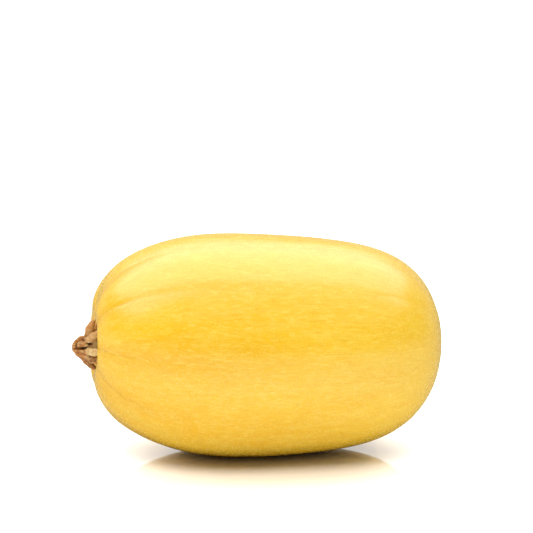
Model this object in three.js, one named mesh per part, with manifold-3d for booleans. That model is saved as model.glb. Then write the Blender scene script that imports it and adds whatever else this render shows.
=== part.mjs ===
// Spaghetti squash: one ripe fruit with its dried stem stub, lying on its side.
//
// Millimetres, +Z up. The fruit's long axis runs along X, with the stem towards -X and the
// blossom end towards +X. The fruit rests on the small flat of its belly at Z = 0, and the
// origin is under the middle of the whole object. Angles round the axis are measured from
// the -Y side upwards: 0 is the -Y side, 90 is the top and 270 is the belly that it rests on.

import * as THREE from 'three';
import { mergeVertices } from 'three/addons/utils/BufferGeometryUtils.js';
import Module from 'manifold-3d';

const wasm = await Module();
wasm.setup();

// ---- driving dimensions ----

const fruit = {
  length: 214.3, // stem end to blossom end, without the stem
  radius: 68.6, // at the belt, the widest ring
  beltFromStem: 88, // the belt stands nearer to the stem end
  pitch: 1.2, // degrees that the blossom end dips below the stem end
  bow: 2.4, // how far both ends stand above a straight axis
  skew: 9.0, // how far the stem end is set back at the -Y side, and stands out at the +Y side
  sag: 2.6, // how far the lower part of the stem end stands out
  lean: 1.3, // how far the upper part of the stem end is set back
  skewReach: 75, // how far along the fruit the skew, sag and lean are felt
  flat: 0.85, // depth of the flat worn into the belly where it rests
  rows: 40, // steps from end to end
  sides: 72, // steps round
};

// Each half is a super-ellipse that also narrows towards its own end. `fall` sets how late
// the side turns in to the end, `blunt` how flat the end is, and `narrowing` and `bend`
// how much the side draws in on the way and how late it does so.
const stemHalf = { reach: fruit.beltFromStem, fall: 2.0, blunt: 4.4, narrowing: 0.17, bend: 2.8 };
const blossomHalf = {
  reach: fruit.length - fruit.beltFromStem,
  fall: 6.9,
  blunt: 1.97,
  narrowing: 0.217,
  bend: 1.8,
};

// The shallow creases that part the ten lobes, as angles round the axis in degrees.
const creases = [4, 43, 75, 112, 148, 182, 216, 252, 292, 332];
const creaseDepth = { stem: 1.1, belt: 0.3, blossom: 0.7 };

const dimple = { depth: 6.5, radius: 27 }; // the hollow that the stem stands in
const scar = { depth: 1.2, radius: 9 }; // where the flower dropped off

const stem = {
  length: 18.7, // from the bottom of the dimple to the broken end
  footRadius: 14, // the flared foot
  neckRadius: 9.5,
  headRadius: 6.5, // the shrivelled tip
  ribs: 5,
  ribHeight: 0.13, // share of the radius
  twist: 24, // degrees from foot to head
  drop: 1.5, // how far the foot's middle is below the fruit's axis
  lift: 1.5, // how far the head bends back up
  rows: 12,
  sides: 30,
  sink: 3, // how far the foot reaches into the fruit before it is cut to fit
  gap: 0.3, // clearance between the foot and the fruit
};

// ---- helpers ----

const radians = THREE.MathUtils.degToRad;
const smoothstep = THREE.MathUtils.smoothstep;

// A closed solid from a geometry, with its shared corners merged.
function solid(geometry) {
  const bare = geometry.clone();
  bare.deleteAttribute('normal');
  bare.deleteAttribute('uv');
  const merged = mergeVertices(bare, 1e-4);
  return new wasm.Manifold(new wasm.Mesh({
    numProp: 3,
    vertProperties: new Float32Array(merged.attributes.position.array),
    triVerts: new Uint32Array(merged.index.array),
  }));
}

function geometryOf(manifold) {
  const mesh = manifold.getMesh();
  const geometry = new THREE.BufferGeometry();
  geometry.setAttribute('position', new THREE.BufferAttribute(mesh.vertProperties, 3));
  geometry.setIndex(new THREE.BufferAttribute(mesh.triVerts, 1));
  geometry.computeVertexNormals();
  return geometry;
}

// Moves every corner of a geometry by a rule that changes a Vector3 in place.
function reshape(geometry, rule) {
  const position = geometry.attributes.position;
  const point = new THREE.Vector3();
  for (let i = 0; i < position.count; i += 1) {
    point.fromBufferAttribute(position, i);
    rule(point);
    position.setXYZ(i, point.x, point.y, point.z);
  }
}

// A solid of revolution about +X, from [distance along X, radius] pairs that start and end
// on the axis.
function turned(outline, sides) {
  const points = outline.map(([along, radius]) => new THREE.Vector2(radius, along));
  const geometry = new THREE.LatheGeometry(points, sides);
  geometry.rotateZ(-Math.PI / 2);
  return geometry;
}

// ---- fruit ----

// Radius of the fruit before its creases, at a distance from the belt (minus is stemwards).
function sideRadius(fromBelt) {
  const half = fromBelt < 0 ? stemHalf : blossomHalf;
  const t = Math.min(Math.abs(fromBelt) / half.reach, 1);
  const drawnIn = 1 - half.narrowing * t ** half.bend;
  return fruit.radius * drawnIn * (1 - t ** half.fall) ** (1 / half.blunt);
}

// The outline from the stem end to the blossom end, in steps of even length.
function fruitOutline() {
  const fine = 720;
  const samples = [];
  for (let i = 0; i <= fine; i += 1) {
    const along = fruit.length * 0.5 * (1 - Math.cos((Math.PI * i) / fine));
    samples.push(new THREE.Vector3(along, sideRadius(along - fruit.beltFromStem), 0));
  }
  samples[0].y = 0;
  samples[fine].y = 0;
  const curve = new THREE.CatmullRomCurve3(samples);
  curve.arcLengthDivisions = fine * 4;
  return curve.getSpacedPoints(fruit.rows).map((p, i) => {
    const onAxis = i === 0 || i === fruit.rows;
    return [p.x, onAxis ? 0 : p.y];
  });
}

// 0 on the crown of a lobe and 1 in the crease beside it.
function creaseShare(angle) {
  const last = creases.length - 1;
  const turn = ((angle - creases[0]) % 360 + 360) % 360 + creases[0];
  let next = creases.findIndex((crease) => crease > turn);
  if (next === -1) next = last + 1;
  const start = creases[next - 1];
  const end = next > last ? creases[0] + 360 : creases[next];
  return 1 - Math.sin((Math.PI * (turn - start)) / (end - start));
}

// How deep the creases are at a place along the fruit.
function creaseDepthAt(along) {
  const toStem = 1 - smoothstep(along, 4, fruit.beltFromStem);
  const toBlossom = smoothstep(along, fruit.length * 0.72, fruit.length * 0.97);
  return creaseDepth.belt
    + (creaseDepth.stem - creaseDepth.belt) * toStem
    + (creaseDepth.blossom - creaseDepth.belt) * toBlossom;
}

function makeFruit() {
  const geometry = turned(fruitOutline(), fruit.sides);
  reshape(geometry, (p) => {
    const radius = Math.hypot(p.y, p.z);
    if (radius > 1e-6) {
      const angle = THREE.MathUtils.radToDeg(Math.atan2(p.z, -p.y));
      const fade = smoothstep(radius, 0, dimple.radius);
      const scale = 1 - (creaseDepthAt(p.x) * creaseShare(angle) * fade) / radius;
      p.y *= scale;
      p.z *= scale;
    }
    if (p.x < fruit.beltFromStem) {
      p.x += dimple.depth * (1 - smoothstep(radius, 0, dimple.radius));
      const felt = 1 - smoothstep(p.x, 0, fruit.skewReach);
      const sag = fruit.sag * smoothstep(-p.z / fruit.radius, 0, 0.8);
      const lean = fruit.lean * smoothstep(p.z / fruit.radius, 0, 0.8);
      p.x -= (fruit.skew * (p.y / fruit.radius) + sag - lean) * felt;
    } else {
      p.x -= scar.depth * (1 - smoothstep(radius, 0, scar.radius));
    }
  });
  return geometry;
}

// ---- stem ----

function stemOutline() {
  const flare = new THREE.CatmullRomCurve3([
    new THREE.Vector3(-stem.sink, stem.footRadius, 0),
    new THREE.Vector3(stem.length * 0.3, stem.footRadius * 0.95, 0),
    new THREE.Vector3(stem.length * 0.6, stem.neckRadius, 0),
    new THREE.Vector3(stem.length * 0.85, stem.headRadius, 0),
    new THREE.Vector3(stem.length * 0.97, stem.headRadius * 0.6, 0),
    new THREE.Vector3(stem.length, 0, 0),
  ]);
  const side = flare.getPoints(stem.rows).map((p) => [p.x, p.y]);
  side[side.length - 1][1] = 0;
  return [[-stem.sink, 0], ...side];
}

// The stub grows towards -X from the bottom of the dimple, ribbed, twisted and a little lifted.
function makeStem() {
  const geometry = turned(stemOutline(), stem.sides);
  reshape(geometry, (p) => {
    const rise = THREE.MathUtils.clamp(p.x / stem.length, 0, 1);
    const angle = Math.atan2(p.z, p.y);
    const turn = angle - radians(stem.twist) * rise;
    const rib = 1 + stem.ribHeight * (Math.cos(stem.ribs * turn) - 0.3);
    p.y *= rib;
    p.z = p.z * rib + stem.lift * rise * rise - stem.drop;
  });
  geometry.rotateZ(Math.PI);
  geometry.translate(dimple.depth, 0, 0);
  return geometry;
}

// ---- assembly ----

// Bows the axis so that both ends stand up a little, then dips the blossom end.
function settle(geometry) {
  const half = fruit.length / 2;
  reshape(geometry, (p) => {
    p.z += fruit.bow * ((p.x - half) / half) ** 2;
  });
  return geometry.rotateY(radians(fruit.pitch));
}

// The stem is carried with the fruit. The belly is then set a little below Z = 0 and cut
// off level.
const fruitShape = settle(makeFruit());
const stemShape = settle(makeStem());
fruitShape.computeBoundingBox();
const drop = -fruitShape.boundingBox.min.z - fruit.flat;
fruitShape.translate(0, 0, drop);
stemShape.translate(0, 0, drop);

const groundSize = 3 * fruit.length;
const ground = new THREE.BoxGeometry(groundSize, groundSize, groundSize);
ground.translate(0, 0, -groundSize / 2);

const fruitSolid = solid(fruitShape).subtract(solid(ground));
const clearance = solid(fruitShape.clone().translate(-stem.gap, 0, 0));
const stemSolid = solid(stemShape).subtract(clearance);

const squashFruit = new THREE.Mesh(
  geometryOf(fruitSolid),
  new THREE.MeshStandardMaterial({ color: 0xf7cf4a, roughness: 0.4, metalness: 0 }),
);
squashFruit.name = 'squash_fruit';

const stemStub = new THREE.Mesh(
  geometryOf(stemSolid),
  new THREE.MeshStandardMaterial({ color: 0xb07a3c, roughness: 0.75, metalness: 0 }),
);
stemStub.name = 'stem';

const squash = new THREE.Group();
squash.name = 'spaghetti_squash';
squash.add(squashFruit, stemStub);

const box = new THREE.Box3().setFromObject(squash);
squash.position.set(-(box.min.x + box.max.x) / 2, -(box.min.y + box.max.y) / 2, -box.min.z);
squash.updateMatrixWorld(true);

export default squash;
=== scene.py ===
"""Spaghetti squash: one ripe fruit with its dried stem, lying on a glossy white table.

The fruit is spun from its outline, then sculpted: lobes, creases, the dimple that the stem
stands in, the blossom scar and the flat of the belly. The stem is a knot of dried ribs and
folds, melted into one skin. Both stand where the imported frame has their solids.

Metres, +Z up. Angles round the fruit's axis are measured from the -Y side upwards: 0 is the
-Y side, 90 is the top and 270 is the belly.
"""

import math

import bmesh
import bpy
import numpy as np
from bpy.props import (
    FloatProperty,
    FloatVectorProperty,
    IntProperty,
    PointerProperty,
)
from mathutils import Matrix, Vector, noise
from mathutils.geometry import interpolate_bezier


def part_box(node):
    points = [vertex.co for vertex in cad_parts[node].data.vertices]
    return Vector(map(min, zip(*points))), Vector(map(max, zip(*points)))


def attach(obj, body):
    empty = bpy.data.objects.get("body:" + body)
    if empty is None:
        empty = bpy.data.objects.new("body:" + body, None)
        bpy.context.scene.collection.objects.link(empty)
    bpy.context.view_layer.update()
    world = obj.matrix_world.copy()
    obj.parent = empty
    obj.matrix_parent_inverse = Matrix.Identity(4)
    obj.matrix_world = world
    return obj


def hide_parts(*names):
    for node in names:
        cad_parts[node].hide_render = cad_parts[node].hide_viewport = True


bl_info = {
    "name": "Spaghetti Squash",
    "version": (1, 0, 0),
    "blender": (4, 5, 0),
    "location": "3D View > Sidebar > Squash",
    "description": "Grows a ripe spaghetti squash with its dried stem, and lights it",
    "category": "Add Mesh",
}

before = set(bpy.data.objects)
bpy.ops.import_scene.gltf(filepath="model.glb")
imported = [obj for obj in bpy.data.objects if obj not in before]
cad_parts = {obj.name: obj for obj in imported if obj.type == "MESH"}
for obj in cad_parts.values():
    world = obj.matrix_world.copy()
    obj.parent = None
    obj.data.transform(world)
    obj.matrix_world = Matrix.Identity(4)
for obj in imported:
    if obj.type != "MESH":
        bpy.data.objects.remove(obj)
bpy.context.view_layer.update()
FRUIT_LOW, FRUIT_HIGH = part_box("squash_fruit")
STEM_LOW, STEM_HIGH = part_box("stem")
FRUIT_SIZE = FRUIT_HIGH - FRUIT_LOW
MM = 0.001


# ---- settings -----------------------------------------------------------------------------


def length_of(name, description, default, low=0.0):
    """A length that the sidebar shows in the scene's unit."""
    return FloatProperty(
        name=name,
        description=description,
        default=default,
        min=low,
        unit="LENGTH",
        precision=4,
    )


def colour_of(name, description, default):
    return FloatVectorProperty(
        name=name,
        description=description,
        default=default,
        size=3,
        min=0.0,
        max=1.0,
        subtype="COLOR",
    )


def share_of(name, description, default):
    return FloatProperty(
        name=name,
        description=description,
        default=default,
        min=0.0,
        max=1.0,
        subtype="FACTOR",
    )


def angle_of(name, description, degrees):
    return FloatProperty(
        name=name,
        description=description,
        default=math.radians(degrees),
        subtype="ANGLE",
    )


class SquashFruitSettings(bpy.types.PropertyGroup):
    """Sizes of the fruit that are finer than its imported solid."""

    belt: share_of("Belt", "Where the widest ring stands, from the stem end", 0.4106)
    pitch: angle_of("Pitch", "How far the blossom end dips", 1.2)
    bow: length_of("Bow", "How far both ends stand above a straight axis", 2.4 * MM)
    skew: length_of("Skew", "How far the stem end is set back at the near side", 9.0 * MM)
    sag: length_of("Sag", "How far the lower part of the stem end stands out", 3.2 * MM)
    lean: length_of("Lean", "How far the upper part of the stem end is set back", 1.0 * MM)
    skew_reach: length_of("Skew reach", "How far along the skew, sag and lean are felt", 75 * MM)
    flat: length_of("Belly flat", "Depth of the flat that it rests on", 0.85 * MM)
    dimple_depth: length_of("Dimple depth", "Hollow round the stem", 6.5 * MM)
    dimple_radius: length_of("Dimple radius", "Hollow round the stem", 27 * MM)
    scar_radius: length_of("Scar radius", "Where the flower dropped off", 4.2 * MM)
    lobe_depth: length_of("Lobe depth", "Depth between lobes, stem end", 1.0 * MM)
    cleft_depth: length_of("Cleft depth", "Grooves up and down from the stem", 1.6 * MM)
    crease_depth: length_of("Crease depth", "Fine line in each crease", 0.22 * MM)
    crease_width: length_of("Crease width", "Fine line in each crease", 1.3 * MM)
    sides: IntProperty(name="Sides", description="Steps round", default=320, min=16)
    rows: IntProperty(name="Rows", description="Steps end to end", default=220, min=16)


class SquashRindSettings(bpy.types.PropertyGroup):
    """Colours and finish of the rind."""

    gold: colour_of("Gold", "The rind's own colour", (0.71, 0.425, 0.014))
    # Deep is the rind's golden patches, deeper streaks and crease lines, and also the painted shade in
    # the lobe valleys.
    deep: colour_of("Deep", "Creases and the golden patches", (0.65, 0.350, 0.004))
    pale: colour_of("Pale", "Crowns and the blossom end", (0.67, 0.445, 0.040))
    fleck: colour_of("Fleck", "Short light streaks", (0.78, 0.56, 0.10))
    # Shade is a greyer, darker colour: partly the clefts' own grey-green tint, partly painted shade.
    shade: colour_of("Shade", "Grey-green of the clefts", (0.42, 0.29, 0.03))
    speck: colour_of("Speck", "Small healed pits", (0.30, 0.14, 0.03))
    scar: colour_of("Scar", "Corky blossom scar", (0.36, 0.20, 0.075))
    roughness: share_of("Roughness", "Of the waxy skin", 0.24)


class SquashStemSettings(bpy.types.PropertyGroup):
    """Finish and fineness of the stem."""

    tan: colour_of("Tan", "Dried skin of the ribs", (0.41, 0.172, 0.043))
    # Light corky colour, also used as the painted highlight on the stem's raised edges.
    cream_and_edge_highlight: colour_of("Cream", "Corky crowns", (0.58, 0.42, 0.18))
    # Old brown skin, also used as the painted shade in the stem's hollows and crevices.
    umber_and_hollow_shade: colour_of("Umber", "Old brown skin", (0.20, 0.068, 0.014))
    # Near-black painted shadow for the deepest crevices.
    crevice_shadow: colour_of("Dark", "Deep crevices", (0.016, 0.006, 0.002))
    grain: length_of("Grain", "Size of one step of the skin", 0.28 * MM, 0.1 * MM)


class SquashStageSettings(bpy.types.PropertyGroup):
    """Camera, floor and light."""

    azimuth: angle_of("Azimuth", "Camera's place round the fruit", -3.4)
    elevation: angle_of("Elevation", "Camera's place above the fruit", 14.8)
    headroom: angle_of("Headroom", "How far the aim is above the fruit", 2.757)
    pan: angle_of("Pan", "How far the aim is to the blossom side", 0.065)
    distance: length_of("Distance", "Camera to the middle of the fruit", 0.985)
    lens: FloatProperty(name="Lens", description="Focal length", default=108.0, unit="CAMERA")
    softbox: FloatProperty(name="Softbox", description="Its brightness", default=2.0)
    ceiling: FloatProperty(name="Ceiling", description="Brightness overhead", default=0.65)
    horizon: FloatProperty(name="Horizon", description="Brightness low down", default=0.06)
    backlight: FloatProperty(name="Backlight", description="Wall behind the fruit", default=0.45)
    bounce: FloatProperty(name="Bounce", description="Extra light off the floor", default=0.8)
    key_azimuth: angle_of("Key azimuth", "Key light's place round the fruit", -12.0)
    key_elevation: angle_of("Key elevation", "Key light's place above the fruit", 58.0)
    key_distance: length_of("Key distance", "Key light to the fruit", 1.5)
    key_size: length_of("Key size", "Width of the key light", 0.6)
    key_power: FloatProperty(name="Key power", description="Watts", default=12.0, unit="POWER")
    backdrop: FloatProperty(name="Backdrop", description="As the floor mirrors it", default=0.8)
    gloss: share_of("Floor gloss", "How much the floor mirrors", 0.55)
    bleach: FloatProperty(name="Bleach", description="How far the floor is overexposed", default=2.5)


SETTINGS = {
    "squash_fruit": SquashFruitSettings,
    "squash_rind": SquashRindSettings,
    "squash_stem": SquashStemSettings,
    "squash_stage": SquashStageSettings,
}


# ---- helpers ------------------------------------------------------------------------------


def smoothstep(value, start, end):
    t = np.clip((value - start) / (end - start), 0.0, 1.0)
    return t * t * (3.0 - 2.0 * t)


def bell(value, width):
    return np.exp(-((value / width) ** 2))


def noise_at(points, scale, seed=0.0):
    """Smooth noise from -1 to 1 at each point; scale is the size of its lumps."""
    offset = Vector((seed, seed * 0.37, -seed))
    return np.array([noise.noise(Vector(p) / scale + offset) for p in points])


def points_of(mesh):
    co = np.empty(len(mesh.vertices) * 3)
    mesh.vertices.foreach_get("co", co)
    return co.reshape(-1, 3)


def normals_of(mesh):
    normals = np.empty(len(mesh.vertices) * 3)
    mesh.vertex_normals.foreach_get("vector", normals)
    return normals.reshape(-1, 3)


def set_points(mesh, co):
    mesh.vertices.foreach_set("co", np.asarray(co, np.float32).ravel())
    mesh.update()


def store(mesh, name, values):
    """Keeps a number, or a vector, for each vertex, which the materials read."""
    values = np.asarray(values, np.float32)
    kind, field = ("FLOAT_VECTOR", "vector") if values.ndim == 2 else ("FLOAT", "value")
    attribute = mesh.attributes.new(name, kind, "POINT")
    attribute.data.foreach_set(field, values.ravel())


def add_piece(mesh, name, material, node):
    """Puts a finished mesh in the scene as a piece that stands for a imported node."""
    mesh.shade_smooth()
    mesh.materials.append(material)
    piece = bpy.data.objects.new(name, mesh)
    bpy.context.scene.collection.objects.link(piece)
    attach(piece, "root")
    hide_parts(node)
    return piece


class Recipe:
    """A node tree, built one node at a time."""

    def __init__(self, owner):
        owner.use_nodes = True
        self.tree = owner.node_tree
        self.tree.nodes.clear()

    def node(self, kind, inputs=None, **settings):
        made = self.tree.nodes.new("ShaderNode" + kind)
        for name, value in settings.items():
            setattr(made, name, value)
        for key, value in (inputs or {}).items():
            if isinstance(value, bpy.types.NodeSocket):
                self.tree.links.new(value, made.inputs[key])
            else:
                made.inputs[key].default_value = value
        return made

    def attribute(self, name, output="Fac"):
        return self.node("Attribute", attribute_name=name).outputs[output]

    def math(self, operation, a, b=0.0):
        return self.node("Math", {0: a, 1: b}, operation=operation).outputs[0]

    def stretch(self, vector, scale, location=(0, 0, 0)):
        made = self.node("Mapping", {"Vector": vector, "Scale": scale, "Location": location})
        return made.outputs[0]

    def noise(self, vector, scale, detail=2.0, roughness=0.5):
        inputs = {"Vector": vector, "Scale": scale, "Detail": detail, "Roughness": roughness}
        return self.node("TexNoise", inputs).outputs["Fac"]

    def between(self, value, start, end, low=0.0, high=1.0):
        """Low up to start, high past end, and a smooth rise from one to the other."""
        inputs = {"Value": value, 1: start, 2: end, 3: low, 4: high}
        made = self.node("MapRange", inputs, interpolation_type="SMOOTHSTEP")
        return made.outputs[0]

    def mix(self, factor, a, b):
        made = self.node("Mix", {0: factor}, data_type="RGBA")
        for index, value in ((6, a), (7, b)):
            if isinstance(value, bpy.types.NodeSocket):
                self.tree.links.new(value, made.inputs[index])
            else:
                made.inputs[index].default_value = (*value, 1.0)
        return made.outputs[2]

    def bump(self, height, distance, strength=1.0):
        inputs = {"Height": height, "Distance": distance, "Strength": strength}
        return self.node("Bump", inputs).outputs[0]

    def surface(self, shader, output="OutputMaterial"):
        self.node(output, {"Surface": shader})


# ---- fruit --------------------------------------------------------------------------------

# Creases between the ten lobes, in degrees round the axis, and how marked each one is.
CREASES = (
    (4, 0.9),
    (43, 1.0),
    (75, 1.0),
    (112, 0.8),
    (148, 1.0),
    (182, 0.85),
    (216, 1.0),
    (252, 0.8),
    (292, 0.9),
    (332, 1.0),
)

# Each half is a super-ellipse that also narrows towards its own end: how late the side
# turns in, how blunt the end is, and how much and how late the side draws in on the way.
STEM_HALF = (2.0, 4.4, 0.17, 2.8)
BLOSSOM_HALF = (6.9, 1.97, 0.217, 1.8)


def side_radius(share, belt):
    """Radius of the uncreased fruit, as a share of the belt's, at a share of its length."""
    if share < belt:
        t = (belt - share) / belt
        fall, blunt, narrowing, bend = STEM_HALF
    else:
        t = (share - belt) / (1.0 - belt)
        fall, blunt, narrowing, bend = BLOSSOM_HALF
    t = min(t, 1.0)
    return (1.0 - narrowing * t**bend) * (1.0 - t**fall) ** (1.0 / blunt)


def fruit_outline(length, radius, belt, rows):
    """Points from the stem end to the blossom end, evenly spaced along the skin."""
    turn = np.linspace(0.0, math.pi, 4001)
    along = 0.5 * (1.0 - np.cos(turn))
    x = along * length
    r = np.array([side_radius(share, belt) for share in along]) * radius
    r[0] = r[-1] = 0.0
    travelled = np.concatenate([[0.0], np.cumsum(np.hypot(np.diff(x), np.diff(r)))])
    even = np.linspace(0.0, travelled[-1], rows + 1)
    return np.interp(even, travelled, x), np.interp(even, travelled, r)


def crease_map(angle):
    """For angles in degrees: 1 in a crease to 0 on the crown of a lobe, the distance in
    degrees to the nearest crease, and how marked that crease is."""
    starts = np.array([c[0] for c in CREASES], float)
    marks = np.array([c[1] for c in CREASES])
    turn = (angle - starts[0]) % 360.0
    edges = np.append(starts - starts[0], 360.0)
    lobe = np.clip(np.searchsorted(edges, turn, side="right") - 1, 0, len(starts) - 1)
    across = (turn - edges[lobe]) / (edges[lobe + 1] - edges[lobe])
    to_start = turn - edges[lobe]
    to_end = edges[lobe + 1] - turn
    nearest = np.where(to_start < to_end, lobe, (lobe + 1) % len(starts))
    mark_across = marks[lobe] * (1 - across) + marks[(lobe + 1) % len(starts)] * across
    return (1.0 - np.sin(math.pi * across)) * mark_across, np.minimum(to_start, to_end), marks[nearest]


def spun_fruit(settings):
    """The smooth fruit about +X from the origin, with each vertex's share of the way along
    its skin kept under "along"."""
    radius = FRUIT_SIZE.y / 2
    xs, rs = fruit_outline(FRUIT_SIZE.x, radius, settings.belt, settings.rows)
    bm = bmesh.new()
    along = bm.verts.layers.float.new("along")
    outline = [bm.verts.new((x, 0.0, r)) for x, r in zip(xs, rs)]
    for i, vert in enumerate(outline):
        vert[along] = i / settings.rows
    edges = [bm.edges.new(pair) for pair in zip(outline, outline[1:])]
    bmesh.ops.spin(
        bm,
        geom=outline + edges,
        cent=(0, 0, 0),
        axis=(1, 0, 0),
        dvec=(0, 0, 0),
        angle=math.tau,
        steps=settings.sides,
        use_merge=True,
        use_duplicate=False,
    )
    bmesh.ops.remove_doubles(bm, verts=bm.verts, dist=0.01 * MM)
    bmesh.ops.recalc_face_normals(bm, faces=bm.faces)
    mesh = bpy.data.meshes.new("squash_rind")
    bm.to_mesh(mesh)
    bm.free()
    return mesh


def sculpt_fruit(mesh, settings):
    """Lobes, creases, dimple, scar and the slow unevenness of a grown thing."""
    co = points_of(mesh)
    along = np.empty(len(co), np.float32)
    mesh.attributes["along"].data.foreach_get("value", along)
    length = FRUIT_SIZE.x
    x, y, z = co.T.copy()
    radius = np.hypot(y, z)
    angle = np.arctan2(z, -y)
    share = x / length
    crease, gap, mark = crease_map(np.degrees(angle))
    gap = np.radians(gap) * radius

    near_stem = 1.0 - smoothstep(share, 0.02, settings.belt)
    near_blossom = smoothstep(share, 0.72, 0.97)
    into_dimple = smoothstep(radius, 0.0, settings.dimple_radius)
    into_scar = np.where(share > 0.5, smoothstep(radius, 4 * MM, 22 * MM), 1.0)
    lobe_depth = 0.3 * MM + (settings.lobe_depth - 0.3 * MM) * near_stem
    lobe_depth += 0.4 * MM * near_blossom
    line_fade = (1.0 - smoothstep(share, 0.03, 0.22)) + 0.06
    line = bell(gap, settings.crease_width) * mark * line_fade
    inwards = (lobe_depth * crease + settings.crease_depth * line) * into_dimple * into_scar

    inwards += 0.55 * MM * noise_at(co, 70 * MM, 3.1) * into_dimple * into_scar
    inwards += 0.12 * MM * noise_at(co, 22 * MM, 7.7) * into_dimple
    stretched = np.column_stack((np.cos(angle) * 4.0, np.sin(angle) * 4.0, along * 3.0))
    inwards += 0.10 * MM * noise_at(stretched, 0.42, 1.3) * into_dimple * into_scar

    scale = 1.0 - inwards / np.maximum(radius, MM)
    y, z = y * scale, z * scale
    stem_side = share < 0.5
    x = x + np.where(stem_side, settings.dimple_depth * (1.0 - into_dimple), 0.0)
    cleft = 0.15 * crease + bell(np.abs(np.sin(angle)) - 1.0, 0.035)
    cleft = cleft * smoothstep(radius, 9 * MM, 22 * MM) * (1.0 - smoothstep(share, 0.005, 0.09))
    x = x + settings.cleft_depth * cleft
    felt = 1.0 - smoothstep(x, 0.0, settings.skew_reach)
    belt_radius = FRUIT_SIZE.y / 2
    sag = settings.sag * smoothstep(-z / belt_radius, 0.0, 0.8)
    lean = settings.lean * smoothstep(z / belt_radius, 0.0, 0.8)
    x = x - (settings.skew * y / belt_radius + sag - lean) * felt

    scar = 1.0 - smoothstep(radius, settings.scar_radius * 0.8, settings.scar_radius * 1.1)
    scar = np.where(stem_side, 0.0, scar)
    basin = np.where(stem_side, 0.0, 1.0 - smoothstep(radius, 0.0, 15 * MM))
    rim = np.where(stem_side, 0.0, bell(radius - settings.scar_radius * 1.15, 1.1 * MM))
    button = np.where(stem_side, 0.0, bell(radius, 1.5 * MM))
    star = 0.5 + 0.5 * np.cos(5.0 * angle + 0.7)
    x = x - 1.5 * MM * basin + 0.3 * MM * rim - 0.45 * MM * scar * (0.6 + 0.4 * star)
    x = x + 0.8 * MM * button

    half = length / 2
    z = z + settings.bow * ((x - half) / half) ** 2
    set_points(mesh, np.column_stack((x, y, z)))

    ring = np.column_stack((np.cos(angle), np.sin(angle), along))
    store(mesh, "grain", ring)
    store(mesh, "crease", line * into_dimple * into_scar)
    store(mesh, "crown", 1.0 - crease)
    store(mesh, "cleft", cleft)
    store(mesh, "scar", scar)


def settle_fruit(mesh, settings):
    """Tilts the fruit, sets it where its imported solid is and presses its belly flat."""
    mesh.transform(Matrix.Rotation(settings.pitch, 4, "Y"))
    co = points_of(mesh)
    low, high = co.min(0), co.max(0)
    size = high - low
    co = (co - low) / size
    co[:, 0] = FRUIT_LOW.x + co[:, 0] * FRUIT_SIZE.x
    co[:, 1] = FRUIT_LOW.y + co[:, 1] * FRUIT_SIZE.y
    co[:, 2] = co[:, 2] * (FRUIT_SIZE.z + settings.flat) - settings.flat
    soft = 0.2 * MM
    z = co[:, 2]
    z = 0.5 * (z + np.sqrt(z * z + soft * soft))
    co[:, 2] = z - z.min()
    set_points(mesh, co)


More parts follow.
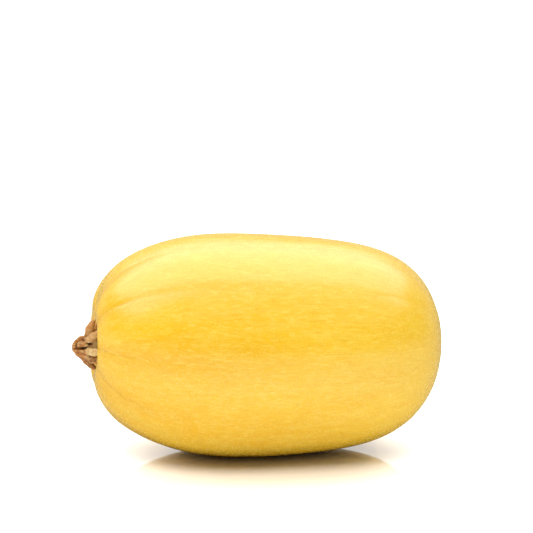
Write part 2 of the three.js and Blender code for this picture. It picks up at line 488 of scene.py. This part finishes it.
def rind_material(colours):
    """Waxy yellow skin: golden patches, light streaks along it, creases and tiny pits, with painted
    shade in the lobe valleys towards the stem and in the clefts by it.
    """
    material = bpy.data.materials.new("waxy_rind")
    r = Recipe(material)
    place = r.node("TexCoord").outputs["Object"]
    grain = r.attribute("grain", "Vector")
    along = r.attribute("along")

    clouds = r.noise(r.stretch(grain, (2.2, 2.2, 2.6)), 1.0, 3.0, 0.55)
    patches = r.noise(r.stretch(grain, (11.0, 11.0, 8.0), (3, 1, 0)), 1.0, 4.0, 0.62)
    streaks = r.noise(r.stretch(grain, (44.0, 44.0, 30.0)), 1.0, 3.0, 0.65)
    threads = r.noise(r.stretch(grain, (100.0, 100.0, 58.0), (5, 2, 0)), 1.0, 2.0, 0.6)
    mottle = r.noise(place, 700.0, 2.0, 0.6)

    colour = r.mix(r.between(clouds, 0.38, 0.68, 0.0, 0.8), colours.gold, colours.deep)
    colour = r.mix(r.between(patches, 0.40, 0.66, 0.0, 0.6), colour, colours.pale)
    blossomwards = r.between(along, 0.45, 0.9, 0.0, 0.6)
    colour = r.mix(blossomwards, colour, colours.pale)
    # Painted shade: the lobe valleys are darkened with the deep colour, most towards the stem.
    valley_shade = r.between(r.attribute("crown"), 0.2, 0.9, 0.7, 0.0)
    stemwards = r.between(along, 0.2, 0.65, 1.0, 0.1)
    colour = r.mix(r.math("MULTIPLY", valley_shade, stemwards), colour, colours.deep)
    line = r.between(r.attribute("crease"), 0.2, 1.0, 0.0, 0.55)
    colour = r.mix(line, colour, tuple(0.86 * c for c in colours.deep))
    # Partly the clefts' own grey-green tint, partly painted shade: the clefts by the stem are darkened.
    shade = r.between(r.attribute("cleft"), 0.3, 1.0, 0.0, 0.35)
    colour = r.mix(shade, colour, colours.shade)

    colour = r.mix(r.between(streaks, 0.50, 0.68, 0.0, 0.35), colour, colours.fleck)
    colour = r.mix(r.between(streaks, 0.48, 0.34, 0.0, 0.35), colour, colours.deep)
    colour = r.mix(r.between(threads, 0.52, 0.68, 0.0, 0.6), colour, colours.fleck)
    colour = r.mix(r.between(threads, 0.46, 0.32, 0.0, 0.5), colour, colours.deep)

    pits = r.node("TexVoronoi", {"Vector": place, "Scale": 95.0}, feature="F1")
    chance = r.node("SeparateColor", {0: pits.outputs["Color"]}).outputs[0]
    patchy = r.between(r.noise(place, 14.0, 1.0), 0.5, 0.62)
    rare = r.math("MULTIPLY", r.between(chance, 0.86, 0.88), patchy)
    pit = r.math("MULTIPLY", r.between(pits.outputs["Distance"], 0.03, 0.08, 1.0, 0.0), rare)
    colour = r.mix(r.math("MULTIPLY", pit, 0.6), colour, colours.speck)

    scar = r.attribute("scar")
    scar_skin = r.mix(r.noise(place, 900.0, 3.0), colours.scar, tuple(0.35 * c for c in colours.scar))
    colour = r.mix(scar, colour, scar_skin)

    skin = r.math("ADD", r.math("MULTIPLY", streaks, 0.7), r.math("MULTIPLY", mottle, 0.2))
    skin = r.math("ADD", skin, r.math("MULTIPLY", threads, 0.3))
    skin = r.math("SUBTRACT", skin, r.math("MULTIPLY", pit, 0.8))
    normal = r.bump(skin, 0.08 * MM, 1.0)
    roughness = r.between(mottle, 0.3, 0.7, colours.roughness - 0.03, colours.roughness + 0.05)
    roughness = r.math("ADD", roughness, r.math("MULTIPLY", scar, 0.4))
    shader = r.node(
        "BsdfPrincipled",
        {
            "Base Color": colour,
            "Roughness": roughness,
            "Normal": normal,
            "IOR": 1.5,
            "Specular IOR Level": 0.75,
        },
    )
    r.surface(shader.outputs[0])
    return material


class SQUASH_OT_grow_fruit(bpy.types.Operator):
    """Spins and sculpts the fruit"""

    bl_idname = "squash.grow_fruit"
    bl_label = "Grow the fruit"

    def execute(self, context):
        settings = context.scene.squash_fruit
        mesh = spun_fruit(settings)
        sculpt_fruit(mesh, settings)
        settle_fruit(mesh, settings)
        material = rind_material(context.scene.squash_rind)
        add_piece(mesh, "fruit", material, "squash_fruit")
        return {"FINISHED"}


# ---- stem ---------------------------------------------------------------------------------

# Ribs and folds of the stem. Each is a smooth run of beads through its points, given in
# millimetres as (out along the stem, sideways towards +Y, up), from the bottom of the
# dimple, with the radius at each point.
STEM_STRANDS = (
    # the core
    (((-2, 0, -1.5), 9.0), ((3, 0, -1.4), 8.0), ((6.5, -0.5, -1), 5.6), ((10, -1, -0.8), 3.6)),
    # top rib, a fat pointed flap that leans on the fruit
    (((3.8, -0.5, 14.2), 0.7), ((5.8, -1, 11.6), 2.0), ((7, -1.6, 8.8), 2.9), ((7.4, -2.2, 6), 2.6)),
    # upper near rib
    (((2, -9.5, 8.5), 1.6), ((4.2, -8.8, 6.4), 2.4), ((6.4, -7.2, 4), 2.4), ((8.6, -5.4, 2.6), 2.0)),
    # near rib
    (((1.6, -12.5, -3), 1.6), ((4, -11, -3.4), 2.7), ((6.8, -8.6, -3.6), 2.5), ((9.4, -6.4, -4), 1.9)),
    # web that fills in below it
    (((2.4, -8, -9), 2.6), ((5.4, -7.6, -8.4), 2.9), ((8.4, -6.6, -7), 2.6), ((12, -5.6, -5.2), 1.9)),
    # lower near rib, the long brown one
    (
        ((2.6, -6.5, -15.6), 0.8),
        ((5.4, -6.2, -13.6), 1.7),
        ((8.6, -5.8, -10.4), 2.4),
        ((12.0, -5.0, -7.0), 2.3),
        ((15.2, -4.4, -5.0), 1.4),
    ),
    # lower far rib
    (((2.4, 6.5, -12), 1.0), ((5, 5.4, -9.6), 2.3), ((8, 3.4, -7), 2.5), ((11.4, 0.5, -4.6), 1.8)),
    # far rib
    (((2, 11.6, -2), 1.3), ((4.4, 10, -2), 2.7), ((7.4, 6.8, -1.8), 2.7), ((10.6, 2.4, -1.6), 2.0)),
    # upper far rib
    (((2.4, 8.2, 9), 1.0), ((4.8, 7.4, 7.2), 2.3), ((7.4, 4.6, 4.8), 2.4), ((10, 1, 2.4), 1.9)),
    # the thumb-shaped lump in the curl
    (((9.2, -5.8, 0.6), 1.9), ((11.4, -6.3, 0.9), 2.1), ((13.2, -6.2, 0.2), 1.6)),
    # the curled rim round it
    (
        ((9.4, -3.0, 3.2), 1.8),
        ((12.4, -3.4, 3.3), 1.6),
        ((15.0, -3.8, 1.8), 1.5),
        ((16.7, -4.2, -1.0), 1.4),
        ((16.6, -4.4, -3.6), 1.1),
    ),
    # back of the curl
    (((9.4, 0.4, 1), 2.3), ((12.6, -0.6, 0.6), 2.1), ((15.4, -2.0, -1.6), 2.0)),
    (((9.4, -1.5, -2.4), 2.4), ((12.4, -2.4, -2.6), 2.2), ((15.0, -3.2, -2.8), 1.6)),
    # fold under the thumb
    (((16.4, -4.8, -3.8), 1.0), ((13, -6.2, -3.6), 1.2), ((9.4, -7.2, -4.2), 1.4)),
)


def strand(bm, stops):
    """Beads so close together that they melt into one rib when the skin is drawn."""
    points = [Vector(p) * MM for p, _ in stops]
    radii = [r * MM for _, r in stops]
    steps = 9
    for i in range(len(points) - 1):
        before = points[max(i - 1, 0)]
        after = points[min(i + 2, len(points) - 1)]
        lean_in = points[i] + (points[i + 1] - before) / 6
        lean_out = points[i + 1] - (after - points[i]) / 6
        run = interpolate_bezier(points[i], lean_in, lean_out, points[i + 1], steps)
        for k, point in enumerate(run):
            radius = radii[i] + (radii[i + 1] - radii[i]) * k / (steps - 1)
            place = Matrix.Translation(point)
            bmesh.ops.create_icosphere(bm, subdivisions=2, radius=radius, matrix=place)


def melted(mesh, grain):
    """One closed skin round everything in the mesh."""
    holder = bpy.data.objects.new("melting", mesh)
    bpy.context.scene.collection.objects.link(holder)
    remesh = holder.modifiers.new("skin", "REMESH")
    remesh.mode = "VOXEL"
    remesh.voxel_size = grain
    graph = bpy.context.evaluated_depsgraph_get()
    skin = bpy.data.meshes.new_from_object(holder.evaluated_get(graph))
    bpy.data.objects.remove(holder)
    return skin


def relaxed(mesh, co, rounds, strength=0.5):
    """The vertices after rounds of moving each one towards the middle of its neighbours."""
    edges = np.empty(len(mesh.edges) * 2, np.int32)
    mesh.edges.foreach_get("vertices", edges)
    a, b = edges.reshape(-1, 2).T
    count = np.bincount(a, minlength=len(co)) + np.bincount(b, minlength=len(co))
    for _ in range(rounds):
        total = np.zeros_like(co)
        for axis in range(3):
            total[:, axis] = np.bincount(a, co[b, axis], len(co)) + np.bincount(b, co[a, axis], len(co))
        co = co + strength * (total / count[:, None] - co)
    return co


def sculpt_stem(mesh):
    """Corky fibres along the ribs, lumps and wrinkles, with the hollows and crevices measured so the
    material can paint shade into them and highlights onto the raised edges.
    """
    co = relaxed(mesh, points_of(mesh), 3)
    set_points(mesh, co)
    normals = normals_of(mesh)
    out, side, up = co.T
    turn = np.arctan2(up, side)
    reach = np.hypot(side, up)
    fibres = np.column_stack((turn * 3.2 + out * 60.0, reach * 220.0, out * 90.0))
    lift = 0.34 * MM * noise_at(fibres, 0.42, 2.0)
    lift += 0.30 * MM * noise_at(co, 2.6 * MM, 5.0)
    lift += 0.14 * MM * noise_at(co, 1.1 * MM, 9.0)
    co = co + normals * lift[:, None]
    set_points(mesh, co)
    normals = normals_of(mesh)
    for name, rounds, depth in (("hollow", 16, 0.20 * MM), ("crevice", 140, 0.9 * MM)):
        sunk = ((relaxed(mesh, co, rounds) - co) * normals).sum(1) / depth
        store(mesh, name, np.clip(sunk, -1.5, 1.5))
    head = smoothstep(out, 7 * MM, 12 * MM)
    lower = 1.0 - smoothstep(up, -9 * MM, -4 * MM)
    store(mesh, "aged", np.maximum(0.75 * head, lower))
    store(mesh, "corky", (1.0 - head) * bell(up + MM, 9 * MM))


def place_stem(mesh):
    """Turns the stem to point along -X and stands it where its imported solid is."""
    foot = Vector((STEM_HIGH.x, (STEM_LOW.y + STEM_HIGH.y) / 2, 0))
    foot.z = (STEM_LOW.z + STEM_HIGH.z) / 2
    turn = Matrix(((-1, 0, 0, 0), (0, 1, 0, 0), (0, 0, 1, 0), (0, 0, 0, 1)))
    mesh.transform(Matrix.Translation(foot) @ turn)
    mesh.flip_normals()


def stem_material(colours):
    """Dried corky skin: light corky crowns, tan sides and brown patches, with painted highlight on the
    raised edges, painted shade in the hollows and near-black painted shadow in the crevices.
    """
    material = bpy.data.materials.new("dried_stem")
    r = Recipe(material)
    place = r.node("TexCoord").outputs["Object"]
    hollow = r.attribute("hollow")
    crevice = r.attribute("crevice")
    patches = r.noise(place, 260.0, 3.0, 0.6)
    fibres = r.noise(r.stretch(place, (300.0, 1000.0, 1000.0)), 1.0, 3.0, 0.65)
    grit = r.noise(place, 1500.0, 3.0, 0.7)

    corky = r.math("MULTIPLY", r.attribute("corky"), r.between(patches, 0.25, 0.55))
    colour = r.mix(corky, colours.tan, colours.cream_and_edge_highlight)
    aged = r.math("MULTIPLY", r.attribute("aged"), r.between(fibres, 0.35, 0.62))
    colour = r.mix(r.math("MULTIPLY", aged, 0.85), colour, colours.umber_and_hollow_shade)
    # Partly paler corky crowns, partly painted highlight: raised edges, where the hollow measure is
    # below zero, are made lighter.
    colour = r.mix(r.between(hollow, -1.1, -0.3, 0.75, 0.0), colour, colours.cream_and_edge_highlight)
    colour = r.mix(r.between(fibres, 0.54, 0.72, 0.0, 0.5), colour, colours.umber_and_hollow_shade)
    # Painted shade: hollows and crevices are darkened towards brown.
    colour = r.mix(r.between(hollow, 0.15, 0.8, 0.0, 0.75), colour, colours.umber_and_hollow_shade)
    colour = r.mix(r.between(crevice, 0.05, 0.4, 0.0, 0.8), colour, colours.umber_and_hollow_shade)
    # Painted shadow: the deepest crevices go near-black.
    colour = r.mix(r.between(crevice, 0.3, 0.8, 0.0, 0.97), colour, colours.crevice_shadow)

    height = r.math("ADD", r.math("MULTIPLY", fibres, 0.7), r.math("MULTIPLY", grit, 0.3))
    normal = r.bump(height, 0.35 * MM, 0.9)
    shader = r.node(
        "BsdfPrincipled",
        {
            "Base Color": colour,
            "Roughness": r.between(patches, 0.3, 0.7, 0.62, 0.78),
            "Normal": normal,
            "Specular IOR Level": 0.35,
        },
    )
    r.surface(shader.outputs[0])
    return material


class SQUASH_OT_grow_stem(bpy.types.Operator):
    """Melts the stem's ribs and folds into one dried, corky skin"""

    bl_idname = "squash.grow_stem"
    bl_label = "Grow the stem"

    def execute(self, context):
        settings = context.scene.squash_stem
        bm = bmesh.new()
        for stops in STEM_STRANDS:
            strand(bm, stops)
        knot = bpy.data.meshes.new("stem_knot")
        bm.to_mesh(knot)
        bm.free()
        mesh = melted(knot, settings.grain)
        sculpt_stem(mesh)
        place_stem(mesh)
        add_piece(mesh, "stem_stub", stem_material(settings), "stem")
        return {"FINISHED"}


# ---- stage --------------------------------------------------------------------------------


def make_camera(settings):
    """Stands in front and a little above, and looks over the fruit's back."""
    centre = (FRUIT_LOW + FRUIT_HIGH) / 2
    a, e = settings.azimuth, settings.elevation
    back = Vector((math.sin(a) * math.cos(e), -math.cos(a) * math.cos(e), math.sin(e)))
    data = bpy.data.cameras.new("camera")
    data.lens = settings.lens
    data.sensor_width = 36.0
    camera = bpy.data.objects.new("camera", data)
    camera.location = centre + back * settings.distance
    camera.rotation_euler = (math.pi / 2 - e + settings.headroom, 0.0, a - settings.pan)
    bpy.context.scene.collection.objects.link(camera)
    bpy.context.scene.camera = camera


def make_floor(settings):
    """A wide sheet of glossy white acrylic."""
    bm = bmesh.new()
    bmesh.ops.create_grid(bm, x_segments=2, y_segments=2, size=25.0)
    mesh = bpy.data.meshes.new("floor")
    bm.to_mesh(mesh)
    bm.free()
    material = bpy.data.materials.new("white_acrylic")
    r = Recipe(material)
    path = r.node("LightPath")
    looking = path.outputs["Is Camera Ray"]
    white, in_gloss = 0.85, 0.25
    seen = r.between(looking, 0.0, 1.0, white, white * settings.bleach)
    seen = r.math("MULTIPLY", seen, r.between(path.outputs["Is Glossy Ray"], 0.0, 1.0, 1.0, in_gloss))
    grey = r.node("CombineXYZ", {0: seen, 1: seen, 2: seen}).outputs[0]
    matt = r.node("BsdfDiffuse", {"Color": grey})
    mirror = r.node("BsdfAnisotropic", {"Color": (1.0, 1.0, 1.0, 1.0), "Roughness": 0.0})
    gloss = r.math("MULTIPLY", looking, settings.gloss)
    inputs = {0: gloss, 1: matt.outputs[0], 2: mirror.outputs[0]}
    sheet = r.node("MixShader", inputs).outputs[0]
    place = r.stretch(r.node("TexCoord").outputs["Object"], (0.45, 1.0, 1.0))
    spread = r.node("VectorMath", {0: place}, operation="LENGTH")
    under, clear = 30 * MM, 110 * MM
    lit = r.between(spread.outputs["Value"], under, clear, 0.0, settings.bounce)
    bounce = r.math("MULTIPLY", path.outputs["Is Diffuse Ray"], lit)
    glow = r.node("Emission", {"Strength": bounce}).outputs[0]
    r.surface(r.node("AddShader", {0: sheet, 1: glow}).outputs[0])
    material.cycles.emission_sampling = "NONE"
    mesh.materials.append(material)
    floor = bpy.data.objects.new("floor", mesh)
    bpy.context.scene.collection.objects.link(floor)


def make_light(settings):
    """A white room with one wide softbox overhead, which reaches further back and left."""
    world = bpy.data.worlds.new("white_room")
    bpy.context.scene.world = world
    r = Recipe(world)
    way = r.node("TexCoord").outputs["Generated"]
    x, y, z = r.node("SeparateXYZ", {0: way}).outputs
    height = r.math("MAXIMUM", z, 0.001)
    across = r.math("DIVIDE", x, height)
    deep = r.math("DIVIDE", y, height)
    left_edge, right_edge = (-2.15, -1.75), (1.0, 1.5)
    near_edge, far_edge, slant = (-0.27, -0.16), (1.2, 1.6), 0.10
    near = r.math("SUBTRACT", deep, r.math("MULTIPLY", across, slant))
    window = r.between(across, *left_edge)
    window = r.math("MULTIPLY", window, r.between(across, *right_edge, 1.0, 0.0))
    window = r.math("MULTIPLY", window, r.between(near, *near_edge))
    window = r.math("MULTIPLY", window, r.between(deep, *far_edge, 1.0, 0.0))
    window = r.math("MULTIPLY", window, r.between(z, 0.0, 0.1))
    room = r.between(z, 0.3, 0.9, settings.horizon, settings.ceiling)
    room = r.math("ADD", room, r.between(y, 0.1, 0.7, 0.0, settings.backlight))
    light = r.math("ADD", room, r.math("MULTIPLY", window, settings.softbox))
    lit = r.node("Background", {"Color": (1.0, 1.0, 1.0, 1.0), "Strength": light})
    seen = r.node("Background", {"Color": (1.0, 1.0, 1.0, 1.0), "Strength": 1.05})
    mirrored = r.node(
        "Background", {"Color": (1.0, 1.0, 1.0, 1.0), "Strength": settings.backdrop}
    )
    path = r.node("LightPath")
    inputs = {0: path.outputs["Is Singular Ray"], 1: lit.outputs[0], 2: mirrored.outputs[0]}
    lit_or_mirrored = r.node("MixShader", inputs)
    inputs = {0: path.outputs["Is Camera Ray"], 1: lit_or_mirrored.outputs[0], 2: seen.outputs[0]}
    r.surface(r.node("MixShader", inputs).outputs[0], "OutputWorld")


def make_key(settings):
    """A soft key light from the front left, which leaves no highlight of its own."""
    data = bpy.data.lights.new("key", "AREA")
    data.size = settings.key_size
    data.energy = settings.key_power
    key = bpy.data.objects.new("key", data)
    a, e = settings.key_azimuth, settings.key_elevation
    towards = Vector((math.sin(a) * math.cos(e), -math.cos(a) * math.cos(e), math.sin(e)))
    key.location = (FRUIT_LOW + FRUIT_HIGH) / 2 + towards * settings.key_distance
    key.rotation_euler = (math.pi / 2 - e, 0.0, a)
    key.visible_glossy = False
    key.visible_camera = False
    bpy.context.scene.collection.objects.link(key)


class SQUASH_OT_set_stage(bpy.types.Operator):
    """Lays the floor, lights the room and stands the camera in front of the fruit"""

    bl_idname = "squash.set_stage"
    bl_label = "Set the stage"

    def execute(self, context):
        settings = context.scene.squash_stage
        context.scene.view_settings.view_transform = "Standard"
        make_camera(settings)
        make_floor(settings)
        make_light(settings)
        make_key(settings)
        return {"FINISHED"}


# ---- add-on -------------------------------------------------------------------------------

OPERATORS = (SQUASH_OT_set_stage, SQUASH_OT_grow_fruit, SQUASH_OT_grow_stem)


class SQUASH_PT_panel(bpy.types.Panel):
    """Grows the squash and shows its settings"""

    bl_idname = "SQUASH_PT_panel"
    bl_label = "Squash"
    bl_space_type = "VIEW_3D"
    bl_region_type = "UI"
    bl_category = "Squash"

    def draw(self, context):
        for operator in OPERATORS:
            self.layout.operator(operator.bl_idname)
        for group, kind in SETTINGS.items():
            box = self.layout.box()
            for name in kind.__annotations__:
                box.prop(getattr(context.scene, group), name)


CLASSES = (*SETTINGS.values(), *OPERATORS, SQUASH_PT_panel)


def register():
    for cls in CLASSES:
        bpy.utils.register_class(cls)
    for group, kind in SETTINGS.items():
        setattr(bpy.types.Scene, group, PointerProperty(type=kind))


def unregister():
    for group in SETTINGS:
        delattr(bpy.types.Scene, group)
    for cls in reversed(CLASSES):
        bpy.utils.unregister_class(cls)


def main():
    register()
    bpy.ops.squash.set_stage()
    bpy.ops.squash.grow_fruit()
    bpy.ops.squash.grow_stem()


if __name__ == "__main__":
    main()
